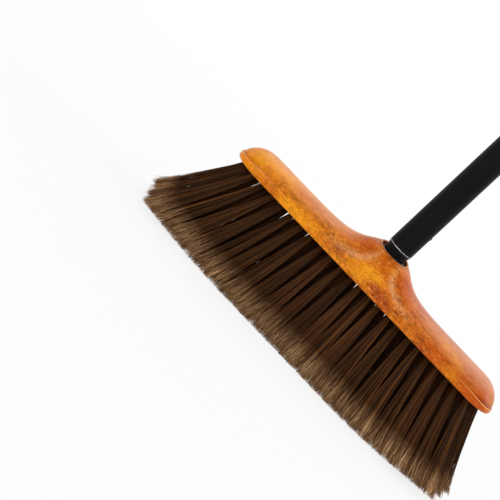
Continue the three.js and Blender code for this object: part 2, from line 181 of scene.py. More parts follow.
def stainedWood():
    look = {
        "amber": shade(234, 136, 4), "rust": shade(188, 78, 8), "honey": shade(242, 158, 10),
        "brown": shade(166, 66, 8), "fleck": shade(92, 36, 6), "pale": shade(244, 168, 84),
        # colour of the painted shade and stain at the edges, the crease and the mouth
        "shadeAndStain": shade(92, 28, 6),
        # size, detail, stretch along the head and roughness of each pattern
        "patterns": {
            "patches": (18 * mm, 4.0, 0.5, 0.6), "clouds": (36 * mm, 3.0, 0.6, 0.6),
            "veins": (8 * mm, 5.0, 0.55, 0.65), "flecks": (3.6 * mm, 3.0, 0.5, 0.6),
            "specks": (1.7 * mm, 3.0, 0.5, 0.7), "pores": (0.6 * mm, 2.0, 0.08, 0.5),
        },
        "driftHalf": 140 * mm, "drift": (-0.05, 0.95), "patchWarmth": (-0.3, 0.45),
        "yellowBand": (0.48, 0.34), "yellowShares": (0.7, 0.2), "raggedShare": 0.35,
        # painted highlight: a pale streak down each side of the neck
        "paintedHighlight": shade(232, 164, 104), "highlightLow": 6.5 * mm, "highlightCurve": 182 * mm ** 2,
        "highlightHalf": 3.8 * mm, "highlightFrom": 6 * mm, "highlightTo": 50 * mm, "highlightEdge": (0.1, 1.1),
        "highlightShare": 0.7,
        # painted sheen along the top of the arms
        "paintedSheen": shade(240, 200, 160), "sheenLow": 9 * mm, "sheenHigh": 16 * mm,
        "sheenFrom": 30 * mm, "sheenTo": 120 * mm, "sheenLeast": 0.11, "sheenMost": 0.27,
        "mottledFrom": 35 * mm, "mottledTo": 125 * mm, "mottledFar": 0.3, "mottledOffHighlight": 0.4,
        "cloudBand": (0.4, 0.6), "cloudLeast": 0.12, "fleckBand": (0.5, 0.64), "fleckShare": 0.75,
        "veinHalf": 0.03, "veinShare": 0.9, "lightBand": (0.52, 0.7), "lightShare": 0.6,
        "darkBand": (0.46, 0.28), "darkShare": 0.7, "poreBand": (0.5, 0.72), "poreShare": 0.22,
        "rough": (0.34, 0.5), "poreRelief": 0.4, "bump": 0.15, "bumpDepth": 0.3 * mm,
        "ovalEdge": (0.35, 1.1),
        # colour, middle across and up, half sizes and strength of each oval place
        "ovals": (
            ("honey", (-1 * mm, 15 * mm), (20 * mm, 5 * mm), 0.8),
            ("honey", (-5 * mm, 8 * mm), (9 * mm, 7 * mm), 0.6),
            ("brown", (18 * mm, 7 * mm), (20 * mm, 6 * mm), 0.8),
            ("brown", (-38 * mm, 7 * mm), (14 * mm, 6 * mm), 0.5),
            ("rust", (-17 * mm, 26 * mm), (10 * mm, 8 * mm), 0.8),
            ("rust", (0 * mm, 29 * mm), (7 * mm, 6 * mm), 0.6),
            ("rust", (20 * mm, 24 * mm), (9 * mm, 7 * mm), 0.5),
        ),
    }
    material, tree, shader = newMaterial("stained_wood", {
        "Specular IOR Level": 0.0, "Coat Weight": 1.0, "Coat Roughness": 0.3, "Coat IOR": 1.23,
        "Sheen Weight": 0.28, "Sheen Roughness": 0.25,
    })
    place = addNode(tree, "ShaderNodeTexCoord").outputs["Object"]
    axes = addNode(tree, "ShaderNodeSeparateXYZ", {0: place})
    x = axes.outputs["X"]
    height = mathNode(tree, "SUBTRACT", axes.outputs["Z"], undersideZ)
    patches, clouds, veins, flecks, specks, pores = (
        noiseOf(tree, place, 1 / size, detail, (stretch, 1.0, 1.0), roughness)
        for size, detail, stretch, roughness in look["patterns"].values()
    )
    # amber on one arm, redder on the other, with yellow patches
    drift = spread(tree, x, -look["driftHalf"], look["driftHalf"], *look["drift"])
    patchWarmth = spread(tree, patches, *noiseRange, *look["patchWarmth"])
    warmth = mathNode(tree, "ADD", drift, patchWarmth, clamp=True)
    colour = mixColour(tree, warmth, look["amber"], look["rust"])
    yellow = spread(tree, x, -look["driftHalf"], look["driftHalf"], *look["yellowShares"])
    yellow = mathNode(tree, "MULTIPLY", spread(tree, patches, *look["yellowBand"]), yellow)
    colour = mixColour(tree, yellow, colour, look["honey"])
    ragged = spread(tree, veins, *noiseRange, -look["raggedShare"], look["raggedShare"])
    for name, *oval in look["ovals"]:
        share = ovalShare(tree, x, height, ragged, look["ovalEdge"], *oval)
        colour = mixColour(tree, share, colour, look[name])
    # a highlight painted as a pale streak down each side of the neck, and smoother wood outside it
    fromNeck = mathNode(tree, "ABSOLUTE", x)
    risen = mathNode(tree, "SUBTRACT", height, look["highlightLow"])
    beside = mathNode(tree, "SUBTRACT", mathNode(tree, "MULTIPLY", risen, fromNeck), look["highlightCurve"])
    arm = addNode(tree, "ShaderNodeCombineXYZ", {0: fromNeck, 1: risen}).outputs[0]
    arm = addNode(tree, "ShaderNodeVectorMath", {0: arm}, operation="LENGTH").outputs["Value"]
    offHighlight = mathNode(tree, "DIVIDE", beside, mathNode(tree, "MULTIPLY", arm, look["highlightHalf"]))
    nearHighlight = mathNode(tree, "ADD", mathNode(tree, "ABSOLUTE", offHighlight), ragged)
    paintedHighlight = spread(tree, nearHighlight, *look["highlightEdge"], look["highlightShare"], 0.0)
    begun = spread(tree, fromNeck, look["highlightFrom"], 2 * look["highlightFrom"])
    paintedHighlight = mathNode(tree, "MULTIPLY", paintedHighlight, begun)
    ended = spread(tree, fromNeck, look["highlightTo"] / 2, look["highlightTo"], 1.0, 0.0)
    paintedHighlight = mathNode(tree, "MULTIPLY", paintedHighlight, ended)
    colour = mixColour(tree, paintedHighlight, colour, look["paintedHighlight"])
    # a painted sheen: a pale reflection painted along the top of the arms, most at the right end
    paintedSheen = spread(tree, x, look["sheenFrom"], look["sheenTo"], look["sheenLeast"], look["sheenMost"])
    upper = spread(tree, height, look["sheenLow"], look["sheenHigh"])
    paintedSheen = mathNode(tree, "MULTIPLY", paintedSheen, upper)
    outer = spread(tree, fromNeck, look["sheenFrom"], 2 * look["sheenFrom"])
    paintedSheen = mathNode(tree, "MULTIPLY", paintedSheen, outer)
    colour = mixColour(tree, paintedSheen, colour, look["paintedSheen"])
    # mottling: small dark flecks and thin veins where the stain has clouded, light specks all over
    mottled = spread(tree, fromNeck, look["mottledFrom"], look["mottledTo"], 1.0, look["mottledFar"])
    smoother = spread(tree, offHighlight, 0.5, 2.0, 1.0, look["mottledOffHighlight"])
    mottled = mathNode(tree, "MULTIPLY", mottled, smoother)
    clouded = spread(tree, clouds, *look["cloudBand"], look["cloudLeast"], 1.0)
    clouded = mathNode(tree, "MULTIPLY", clouded, mottled)
    nearVein = mathNode(tree, "ABSOLUTE", mathNode(tree, "SUBTRACT", veins, 0.5))
    marks = (
        (spread(tree, flecks, *look["fleckBand"], 0.0, look["fleckShare"]), clouded, "fleck"),
        (spread(tree, nearVein, 0.0, look["veinHalf"], look["veinShare"], 0.0), clouded, "fleck"),
        (spread(tree, specks, *look["lightBand"], 0.0, look["lightShare"]), mottled, "pale"),
        (spread(tree, specks, *look["darkBand"], 0.0, look["darkShare"]), mottled, "fleck"),
        (spread(tree, pores, *look["poreBand"], 0.0, look["poreShare"]), 1.0, "fleck"),
    )
    for mark, strength, name in marks:
        colour = mixColour(tree, mathNode(tree, "MULTIPLY", mark, strength), colour, look[name])
    # painted shade and stain from the rings where the value is above 0, and a painted highlight in the pale
    # colour where it is below 0
    edge = addNode(tree, "ShaderNodeAttribute", attribute_name="shadeAndStain").outputs["Fac"]
    colour = mixColour(tree, spread(tree, edge, 0.0, 1.0), colour, look["shadeAndStain"])
    colour = mixColour(tree, spread(tree, edge, 0.0, -1.0), colour, look["pale"])
    tree.links.new(colour, shader.inputs["Base Color"])
    tree.links.new(spread(tree, flecks, *noiseRange, *look["rough"]), shader.inputs["Roughness"])
    relief = mathNode(tree, "ADD", mathNode(tree, "MULTIPLY", pores, look["poreRelief"]), specks)
    inputs = {"Height": relief, "Strength": look["bump"], "Distance": look["bumpDepth"]}
    tree.links.new(addNode(tree, "ShaderNodeBump", inputs).outputs[0], shader.inputs["Normal"])
    return material


# Satin black coat, worn to bright steel on the cut edge at the lower end of the pole
def blackPaint():
    wear = {
        "height": 0.75 * mm, "ragged": 0.3 * mm, "edge": 0.15 * mm, "chipScale": 600.0,
        "steel": shade(170, 168, 165), "metal": 0.8,
    }
    material, tree, shader = grainedMaterial("black_paint")
    place = addNode(tree, "ShaderNodeTexCoord").outputs["Object"]
    z = addNode(tree, "ShaderNodeSeparateXYZ", {0: place}).outputs["Z"]
    chips = noiseOf(tree, place, wear["chipScale"], 3.0)
    chips = spread(tree, chips, *noiseRange, -wear["ragged"], wear["ragged"])
    line = tubeLow.z + wear["height"]
    bare = spread(tree, mathNode(tree, "ADD", z, chips), line, line + wear["edge"], 1.0, 0.0)
    painted = shader.inputs["Base Color"].links[0].from_socket
    tree.links.new(mixColour(tree, bare, painted, wear["steel"]), shader.inputs["Base Color"])
    tree.links.new(mathNode(tree, "MULTIPLY", bare, wear["metal"]), shader.inputs["Metallic"])
    return material


# Colour runs along each fibre, and one fibre differs from the next: both are in its map
def bristleFibre():
    look = {
        "root": shade(66, 38, 15), "middle": shade(82, 48, 20),
        "darkTip": shade(102, 62, 29), "paleTip": shade(255, 206, 150),
        "rootEnds": (0.02, 0.4), "flagged": (0.73, 0.9), "levels": (0.3, 3.05),
    }
    sockets = {"Roughness": 0.55, "Specular IOR Level": 0.15}
    material, tree, shader = newMaterial("bristle_fibre", sockets)
    spot = addNode(tree, "ShaderNodeUVMap", uv_map="OFBake").outputs[0]
    axes = addNode(tree, "ShaderNodeSeparateXYZ", {0: spot})
    tone, along = axes.outputs["X"], axes.outputs["Y"]
    colour = mixColour(tree, spread(tree, along, *look["rootEnds"]), look["root"], look["middle"])
    level = spread(tree, tone, 0.0, 1.0, *look["levels"])
    grey = addNode(tree, "ShaderNodeCombineColor", {0: level, 1: level, 2: level}).outputs[0]
    colour = mixColour(tree, 1.0, colour, grey, "MULTIPLY")
    tip = mixColour(tree, tone, look["darkTip"], look["paleTip"])
    flagged = spread(tree, along, *look["flagged"])
    tree.links.new(mixColour(tree, flagged, colour, tip), shader.inputs["Base Color"])
    return material


# Puts a finished bmesh on its body, in place of its solids
def finishPiece(name, bm, material, body, nodes, sharpAngle=40):
    bmesh.ops.recalc_face_normals(bm, faces=bm.faces)
    mesh = bpy.data.meshes.new(name)
    bm.to_mesh(mesh)
    bm.free()
    return finishMesh(name, mesh, material, body, nodes, sharpAngle)


def finishMesh(name, mesh, material, body, nodes, sharpAngle=40):
    mesh.shade_smooth()
    mesh.set_sharp_from_angle(angle=math.radians(sharpAngle))
    mesh.materials.clear()
    mesh.materials.append(material)
    piece = bpy.data.objects.new(name, mesh)
    scene.collection.objects.link(piece)
    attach(piece, body)
    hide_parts(*nodes)
    print("made", name, "with", len(mesh.polygons), "faces")
    return piece


# Joins or cuts a bmesh with another and gives the result back as a bmesh
def combined(base, tool, operation):
    holders = []
    for label, bm in (("base", base), ("tool", tool)):
        bmesh.ops.recalc_face_normals(bm, faces=bm.faces)
        mesh = bpy.data.meshes.new(label)
        bm.to_mesh(mesh)
        bm.free()
        holder = bpy.data.objects.new(label, mesh)
        scene.collection.objects.link(holder)
        holders.append(holder)
    change = holders[0].modifiers.new("change", "BOOLEAN")
    change.operation = operation
    change.object = holders[1]
    change.solver = "EXACT"
    graph = bpy.context.evaluated_depsgraph_get()
    result = bmesh.new()
    result.from_mesh(holders[0].evaluated_get(graph).data)
    for holder in holders:
        mesh = holder.data
        bpy.data.objects.remove(holder)
        bpy.data.meshes.remove(mesh)
    bmesh.ops.remove_doubles(result, verts=result.verts, dist=mergeGap)
    return result


# A profile of radius and height pairs with its corners rounded
def softened(profile, radius, steps=3, closed=False):
    points = [Vector(p) for p in profile]
    count = len(points)
    result = []
    for i, corner in enumerate(points):
        if not closed and i in (0, count - 1):
            result.append(corner)
            continue
        before, after = points[i - 1], points[(i + 1) % count]
        shorter = min((before - corner).length, (after - corner).length)
        reach = min(radius, shorter / 2.2)  # under half of each side
        start = corner + (before - corner).normalized() * reach
        end = corner + (after - corner).normalized() * reach
        for k in range(steps + 1):
            t = k / steps
            result.append(start * (1 - t) ** 2 + corner * 2 * t * (1 - t) + end * t ** 2)
    return result


# A profile turned round the pole's axis
def turned(profile, steps, closed=False):
    bm = bmesh.new()
    verts = [bm.verts.new((radius, 0.0, z)) for radius, z in profile]
    edges = [bm.edges.new(pair) for pair in zip(verts, verts[1:])]
    if closed:
        edges.append(bm.edges.new((verts[-1], verts[0])))
    bmesh.ops.spin(bm, geom=verts + edges, cent=(0, 0, 0), axis=(0, 0, 1), dvec=(0, 0, 0),
                   angle=2 * math.pi, steps=steps, use_merge=True)
    bmesh.ops.remove_doubles(bm, verts=bm.verts, dist=mergeGap)
    bmesh.ops.recalc_face_normals(bm, faces=bm.faces)
    return bm


# A loop of edges, extruded ring by ring, with each vertex put where its ray says
def lofted(rays, shadesAndStains=None):
    bm = bmesh.new()
    rayOf = bm.verts.layers.int.new("ray")
    shadeAndStain = bm.verts.layers.float.new("shadeAndStain")
    verts = bmesh.ops.create_circle(bm, radius=1.0, segments=len(rays))["verts"]
    for i, vert in enumerate(verts):
        vert[rayOf] = i
    loop = list({edge for vert in verts for edge in vert.link_edges})
    firstLoop = loop
    for ring in range(len(rays[0])):
        if ring:
            grown = bmesh.ops.extrude_edge_only(bm, edges=loop)["geom"]
            verts = [part for part in grown if isinstance(part, bmesh.types.BMVert)]
            loop = [part for part in grown if isinstance(part, bmesh.types.BMEdge)]
        for vert in verts:
            vert.co = rays[vert[rayOf]][ring]
            vert[shadeAndStain] = shadesAndStains[vert[rayOf]][ring] if shadesAndStains else 0.0
    bmesh.ops.contextual_create(bm, geom=firstLoop)
    bmesh.ops.contextual_create(bm, geom=loop)
    bm.verts.layers.int.remove(rayOf)
    bmesh.ops.recalc_face_normals(bm, faces=bm.faces)
    return bm


# Wooden head
wood = {
    "noseLength": 24.5 * mm, "armHeight": 19.5 * mm, "rimRadius": 15.2 * mm, "mouthRadius": 13.15 * mm,
    "rimTilt": 1.5 * mm,
    "boreRadius": 12.1 * mm, "seatDepth": 2.8 * mm, "boreGap": 0.3 * mm, "lipDrop": 1.0 * mm,
    "lipReach": 3.2 * mm, "flareLength": 14.7 * mm, "flarePower": 1.25,
    "crownPower": 2.4, "crownRound": 0.7,
    "bandHeight": 7.4 * mm, "bandRise": 10.6 * mm, "bandReach": 34 * mm,
    "endDrop": 2.4 * mm, "endDropFrom": 114 * mm,
    "lowerRound": 1.3 * mm, "bandRound": 1.0 * mm, "bandShares": (0.35, 0.7),
    "ledge": 1.3 * mm, "ledgeFrom": 81 * mm, "ledgeTo": 128 * mm,
    "nosePoints": 28, "armPoints": 60, "crownRings": 46, "roundSteps": 5, "lipSteps": 8,
    "ringClustering": 0.6, "armClustering": 1.25,
}


def edgeShare(x, y):
    straight = headHigh.x - wood["noseLength"]
    return math.hypot(y / headHigh.y, max(0.0, abs(x) - straight) / wood["noseLength"])


# Fall of the crown from its ridge (0) to its edge (1), ending upright
def crownFall(share):
    return 1 - max(0.0, 1 - share ** wood["crownPower"]) ** wood["crownRound"]


def eased(share):
    held = min(1.0, max(0.0, share))
    return held * held * (3 - 2 * held)


# Height of the crease between the band and the crown, which rises at the neck and falls at the ends
def creaseHeight(x):
    rise = wood["bandRise"] * math.exp(-(x / wood["bandReach"]) ** 2)
    drop = wood["endDrop"] * eased((abs(x) - wood["endDropFrom"]) / (headHigh.x - wood["endDropFrom"]))
    return wood["bandHeight"] + rise - drop


def ledgeShare(x):
    return eased((abs(x) - wood["ledgeFrom"]) / (wood["ledgeTo"] - wood["ledgeFrom"]))


# Outline from above and the way out of it at each point, anticlockwise from the end of the +X arm
def headOutline():
    straight = headHigh.x - wood["noseLength"]
    quarter = []
    for i in range(wood["nosePoints"]):
        angle = i / wood["nosePoints"] * math.pi / 2
        quarter.append((straight + wood["noseLength"] * math.cos(angle), headHigh.y * math.sin(angle)))
    for i in range(wood["armPoints"] + 1):
        even = 1 - i / wood["armPoints"]
        quarter.append((straight * even ** wood["armClustering"], headHigh.y))
    half = quarter + [(-x, y) for x, y in reversed(quarter[:-1])]
    outline = half + [(-x, -y) for x, y in half[1:-1]]
    result = []
    for x, y in outline:
        slope = Vector((math.copysign(max(0.0, abs(x) - straight), x) / wood["noseLength"] ** 2,
                        y / headHigh.y ** 2, 0.0))
        result.append((Vector((x, y, 0.0)), slope.normalized()))
    return result


def headRay(edge, out):
    up = Vector((0.0, 0.0, 1.0))
    crease = creaseHeight(edge.x)
    ledge = wood["ledge"] * ledgeShare(edge.x)
    base = Vector((edge.x, edge.y, undersideZ))
    ray = []
    for i in range(wood["roundSteps"] + 1):
        angle = i / wood["roundSteps"] * math.pi / 2
        inward = wood["lowerRound"] * (1 - math.sin(angle))
        ray.append(base - out * inward + up * wood["lowerRound"] * (1 - math.cos(angle)))
    bandTop = crease - wood["bandRound"]
    for share in wood["bandShares"]:
        ray.append(base + up * (wood["lowerRound"] + (bandTop - wood["lowerRound"]) * share))
    for i in range(wood["roundSteps"] + 1):
        angle = i / wood["roundSteps"] * math.pi / 2
        inward = wood["bandRound"] * (1 - math.cos(angle)) * ledge / wood["ledge"]
        ray.append(base - out * inward + up * (bandTop + wood["bandRound"] * math.sin(angle)))
    foot = edge - out * ledge
    way = edge.normalized()
    rim = way * wood["rimRadius"]
    rimHeight = headHigh.z - undersideZ - wood["rimTilt"] * (1 - way.y)
    footShare = edgeShare(foot.x, foot.y)
    rimFall = crownFall(edgeShare(rim.x, rim.y) / footShare)
    for i in range(wood["crownRings"] + 1):
        even = 1 - i / wood["crownRings"]
        share = even - wood["ringClustering"] * math.sin(2 * math.pi * even) / (2 * math.pi)
        spot = rim.lerp(foot, share)
        fall = (crownFall(edgeShare(spot.x, spot.y) / footShare) - rimFall) / (1 - rimFall)
        past = max(0.0, spot.length - wood["rimRadius"])
        flare = math.exp(-(past / wood["flareLength"]) ** wood["flarePower"])
        ridge = wood["armHeight"] + (rimHeight - wood["armHeight"]) * flare
        low = creaseHeight(spot.x)
        height = low + (ridge - low) * (1 - min(1.0, fall))
        height -= wood["lipDrop"] * math.exp(-(past / wood["lipReach"]) ** 2)
        ray.append(Vector((spot.x, spot.y, undersideZ + height)))
    middle = (wood["rimRadius"] + wood["mouthRadius"]) / 2
    halfLip = (wood["rimRadius"] - wood["mouthRadius"]) / 2
    lipZ = undersideZ + rimHeight - wood["lipDrop"]
    for i in range(1, wood["lipSteps"] + 1):
        angle = i / wood["lipSteps"] * math.pi
        spot = way * (middle + halfLip * math.cos(angle))
        ray.append(spot + up * (lipZ + wood["lipDrop"] * math.sin(angle)))
    seatZ = insertHigh.z - wood["seatDepth"]
    boreZ = insertLow.z - wood["boreGap"]
    mouthRadius, boreRadius = wood["mouthRadius"], wood["boreRadius"]
    for radius, z in ((mouthRadius, seatZ), (boreRadius, seatZ), (boreRadius, boreZ)):
        ray.append(way * radius + up * z)
    return ray


# Painted shade and stain of the wood, ring by ring from the lower edge to the bore: shade painted under the
# lower edge, in the crease above the ledge, at the foot of the lip and down the bore, with a light stain on
# the lip; below 0 it is a highlight painted on the ledge's edge
ringShadesAndStains = {
    "lower": [0.7, 0.6, 0.35, 0.12, 0.0, 0.0], "band": [0.0, 0.0],
    "ledge": [0.0, -0.2, -0.6, -0.75, -0.1, 0.45, 0.5, 0.2],
    "mouth": [0.03, 0.1, 0.3, 0.6], "lip": [0.4, 0.2, 0.12, 0.1, 0.12, 0.2, 0.35, 0.6],
    "bore": [0.7, 0.7, 0.7], "rightLedge": 1.2, "leftLedge": 0.7,
}


# Painted highlight on the ledge's edge and painted shade in the crease above it, stronger on the right arm
# than on the left
def headShadesAndStains(x):
    line = ledgeShare(x) * ringShadesAndStains["rightLedge" if x > 0 else "leftLedge"]
    ledge = [shadeAndStain * line for shadeAndStain in ringShadesAndStains["ledge"]]
    onCrown = len(ledge) - wood["roundSteps"] - 1
    crown = [0.0] * (wood["crownRings"] + 1 - onCrown - len(ringShadesAndStains["mouth"]))
    lower = ringShadesAndStains["lower"] + ringShadesAndStains["band"]
    upper = ringShadesAndStains["mouth"] + ringShadesAndStains["lip"] + ringShadesAndStains["bore"]
    return lower + ledge + crown + upper


# Bristles
bristles = {
    "rows": (("front", 23), ("mid_front", 24), ("mid_back", 25), ("back", 24)),
    "tuftPitch": 10.65 * mm, "rowPitch": 9.5 * mm, "tipRowPitch": 18.5 * mm,
    "holeRadius": 2.6 * mm, "holeDepth": 5.2 * mm, "holeBelow": 1 * mm, "holeSides": 16, "rootInHole": 0.8,
    "rootRadius": 2.04 * mm, "tipAlong": 7.4 * mm, "tipAcross": 9.2 * mm,
    "fibres": 150, "fibreRadius": 0.2 * mm, "fibreTip": 0.1 * mm,
    "splits": 460, "splitTip": 0.45, "splitFrom": 0.76, "splitTo": 0.92, "splitRadius": 0.16 * mm,
    "splitOwnTone": 0.5, "splitSpread": 2.0 * mm, "splitShort": 0.15 * mm,
    "clumps": 45, "clumpPull": 0.4, "clumpTone": 0.5, "toneSkew": 3.0,
    "jitter": 0.6 * mm, "strayShare": 0.02, "strayJitter": 4.0, "calmAcross": 0.2, "edgePower": 0.8,
    "tuftTilt": 0.5 * mm, "tuftShift": 0.6 * mm, "wave": 0.3 * mm, "tipWave": 0.8 * mm,
    "curlPower": 4, "splay": 1.08, "ragged": 0.1 * mm, "trimRounds": 6,
    "endLean": 39.2 * mm, "leanPower": 1.3, "leanBias": 0.11,
    "flatHalf": 76 * mm, "gentleRise": 5.7 * mm, "gentlePower": 1.6, "gentleReach": 92 * mm,
    "rightFrom": 60 * mm, "rightReach": 85 * mm, "rightRise": 3.1 * mm,
    "cornerFrom": 160 * mm, "cornerReach": 12 * mm, "cornerRise": 13 * mm,
    "stripWidth": 0.016, "seed": 51,
}


def tuftPlaces(index):
    tufts = bristles["rows"][index][1]
    return (np.arange(tufts) - (tufts - 1) / 2) * bristles["tuftPitch"]


def rowPlace(index):
    return index - (len(bristles["rows"]) - 1) / 2


# Drilled holes that the tufts sit in
def tuftHoles():
    bm = bmesh.new()
    below = bristles["holeBelow"]
    depth = bristles["holeDepth"] + below
    for index in range(len(bristles["rows"])):
        for x in tuftPlaces(index):
            spot = (x, rowPlace(index) * bristles["rowPitch"], undersideZ - below + depth / 2)
            bmesh.ops.create_cone(bm, cap_ends=True, segments=bristles["holeSides"],
                                  radius1=bristles["holeRadius"], radius2=bristles["holeRadius"],
                                  depth=depth, matrix=Matrix.Translation(spot))
    return bm


def makeHead(material):
    outline = headOutline()
    rays = [headRay(edge, out) for edge, out in outline]
    block = lofted(rays, [headShadesAndStains(edge.x) for edge, _ in outline])
    drilled = combined(block, tuftHoles(), "DIFFERENCE")
    return finishPiece("wooden_head", drilled, material, "head", ["head_block"])


# One fibre of unit length and radius, or one tapering split end, which the rows copy
def plainStrand(name, tipRadius, cuts):
    bm = bmesh.new()
    bmesh.ops.create_cone(bm, cap_ends=True, segments=3, radius1=tipRadius, radius2=1.0, depth=1.0)
    bmesh.ops.remove_doubles(bm, verts=bm.verts, dist=mergeGap)
    upright = [edge for edge in bm.edges if abs(edge.verts[0].co.z - edge.verts[1].co.z) > 0.5]
    if cuts:
        bmesh.ops.subdivide_edges(bm, edges=upright, cuts=cuts)
    bmesh.ops.recalc_face_normals(bm, faces=bm.faces)
    mesh = bpy.data.meshes.new(name)
    bm.to_mesh(mesh)
    bm.free()
    return mesh


# Height of the trimmed tips along the head: flat, gently rising, more so on the right, then round corners
def trimHeight(x):
    past = np.clip((np.abs(x) - bristles["flatHalf"]) / bristles["gentleReach"], 0, 1)
    corner = np.clip((np.abs(x) - bristles["cornerFrom"]) / bristles["cornerReach"], 0, 1)
    rounded = bristles["cornerRise"] * (1 - np.sqrt(1 - corner ** 2))
    right = bristles["rightRise"] * np.clip((x - bristles["rightFrom"]) / bristles["rightReach"], 0, 1)
    return bristles["gentleRise"] * past ** bristles["gentlePower"] + right + rounded


# Roots, tips and tones of one row's fibres: round tufts that fan out to fill the row, in small clumps
def fibreEnds(index, random):
    place = rowPlace(index)
    perTuft = bristles["fibres"]
    tuftX = np.repeat(tuftPlaces(index), perTuft)
    count = len(tuftX)
    square = random.uniform(-1, 1, (count, 2))
    disc = square * np.sqrt(1 - square[:, ::-1] ** 2 / 2)
    rootZ = undersideZ + bristles["holeDepth"] * bristles["rootInHole"]
    root = np.stack([tuftX, np.full(count, place * bristles["rowPitch"]), np.full(count, rootZ)], 1)
    tufts = count // perTuft
    root[:, :2] += np.repeat(random.normal(0, bristles["tuftShift"], (tufts, 2)), perTuft, axis=0)
    root[:, :2] += disc * bristles["rootRadius"]
    outward = np.sign(square) * np.abs(square) ** bristles["edgePower"]
    fan = outward * [bristles["tipAlong"], bristles["tipAcross"]]
    stray = np.where(random.uniform(0, 1, count) < bristles["strayShare"], bristles["strayJitter"], 1.0)
    calm = bristles["calmAcross"]
    fan += random.normal(0, bristles["jitter"], fan.shape) * np.stack([stray, np.full(count, calm)], 1)
    tone = random.uniform(0, 1, count) ** bristles["toneSkew"]
    gather = np.zeros_like(fan)
    for first in range(0, count, perTuft):
        tuft = fan[first:first + perTuft]
        centres = tuft[random.choice(perTuft, bristles["clumps"], replace=False)]
        nearest = np.linalg.norm(tuft[:, None] - centres[None], axis=2).argmin(1)
        gather[first:first + perTuft] = (centres[nearest] - tuft) * bristles["clumpPull"]
        shared = random.uniform(0, 1, bristles["clumps"])[nearest] ** bristles["toneSkew"]
        tone[first:first + perTuft] += (shared - tone[first:first + perTuft]) * bristles["clumpTone"]
    fan += np.repeat(random.normal(0, bristles["tuftTilt"], (tufts, 2)) * [1.0, calm], perTuft, axis=0)
    fromMiddle = np.abs(tuftX)
    lean = bristles["endLean"] * (fromMiddle / fromMiddle.max()) ** bristles["leanPower"]
    lean *= np.sign(tuftX) - bristles["leanBias"]
    aim = np.stack([tuftX + lean, np.full(count, place * bristles["tipRowPitch"])], 1) + fan
    trim = np.zeros(count)
    for _ in range(bristles["trimRounds"]):
        trim = (trim + trimHeight(aim[:, 0] + (root[:, 0] - aim[:, 0]) * trim / rootZ)) / 2
    trim += np.abs(random.normal(0, bristles["ragged"], count))
    tip = np.concatenate([aim + (root[:, :2] - aim) * (trim / rootZ)[:, None], trim[:, None]], 1)
    return root, tip, tone, gather


# Where the fibres run: points along each one, from root to tip, drawn together into clumps halfway
def fibrePaths(root, tip, gather, steps, random):
    t = steps[None, :, None]
    flat = root[:, None, :2] + (tip - root)[:, None, :2] * t ** bristles["splay"]
    sway = random.normal(0, 1, (len(root), 1, 2)) * bristles["wave"] * np.sin(np.pi * t)
    curl = random.normal(0, 1, (len(root), len(steps), 2)) * [1.0, bristles["calmAcross"]]
    curl = curl * bristles["tipWave"] * t ** bristles["curlPower"]
    height = root[:, None, 2:] + (tip - root)[:, None, 2:] * t
    clumped = gather[:, None] * np.sin(np.pi * t) * t
    return np.concatenate([flat + sway + curl + clumped, height], 2)


# How far along the strand each vertex of a template lies, from its root
def strandSteps(template):
    corners = np.array([vert.co for vert in template.vertices])
    steps, level = np.unique(np.round(0.5 - corners[:, 2], 4), return_inverse=True)
    return corners, steps, level


# Copies of a template from an Array modifier, each bent along its path, its tone and length in its map
def bentCopies(template, paths, radius, along, tone):
    corners, _, level = strandSteps(template)
    holder = bpy.data.objects.new("strands", template)
    scene.collection.objects.link(holder)
    copies = holder.modifiers.new("copies", "ARRAY")
    copies.count = len(paths)
    copies.use_relative_offset = False
    mesh = bpy.data.meshes.new_from_object(holder.evaluated_get(bpy.context.evaluated_depsgraph_get()))
    bpy.data.objects.remove(holder)
    spots = paths[:, level]
    spots[:, :, :2] += corners[None, :, :2] * radius[:, level, None]
    spots[:, :, 2] = np.maximum(spots[:, :, 2], 0.0)
    mesh.vertices.foreach_set("co", spots.astype(np.float32).ravel())
    side = (corners[:, 0] - corners[:, 0].min()) / np.ptp(corners[:, 0])
    across = tone[:, None] * (1 - bristles["stripWidth"]) + side[None] * bristles["stripWidth"]
    spotMap = np.stack([across, along[:, level]], 2).reshape(-1, 2)
    vertexOf = np.empty(len(mesh.loops), np.int32)
    mesh.loops.foreach_get("vertex_index", vertexOf)
    layer = mesh.uv_layers.new(name="OFBake")
    layer.uv.foreach_set("vector", spotMap[vertexOf].astype(np.float32).ravel())
    mesh.update()
    return mesh


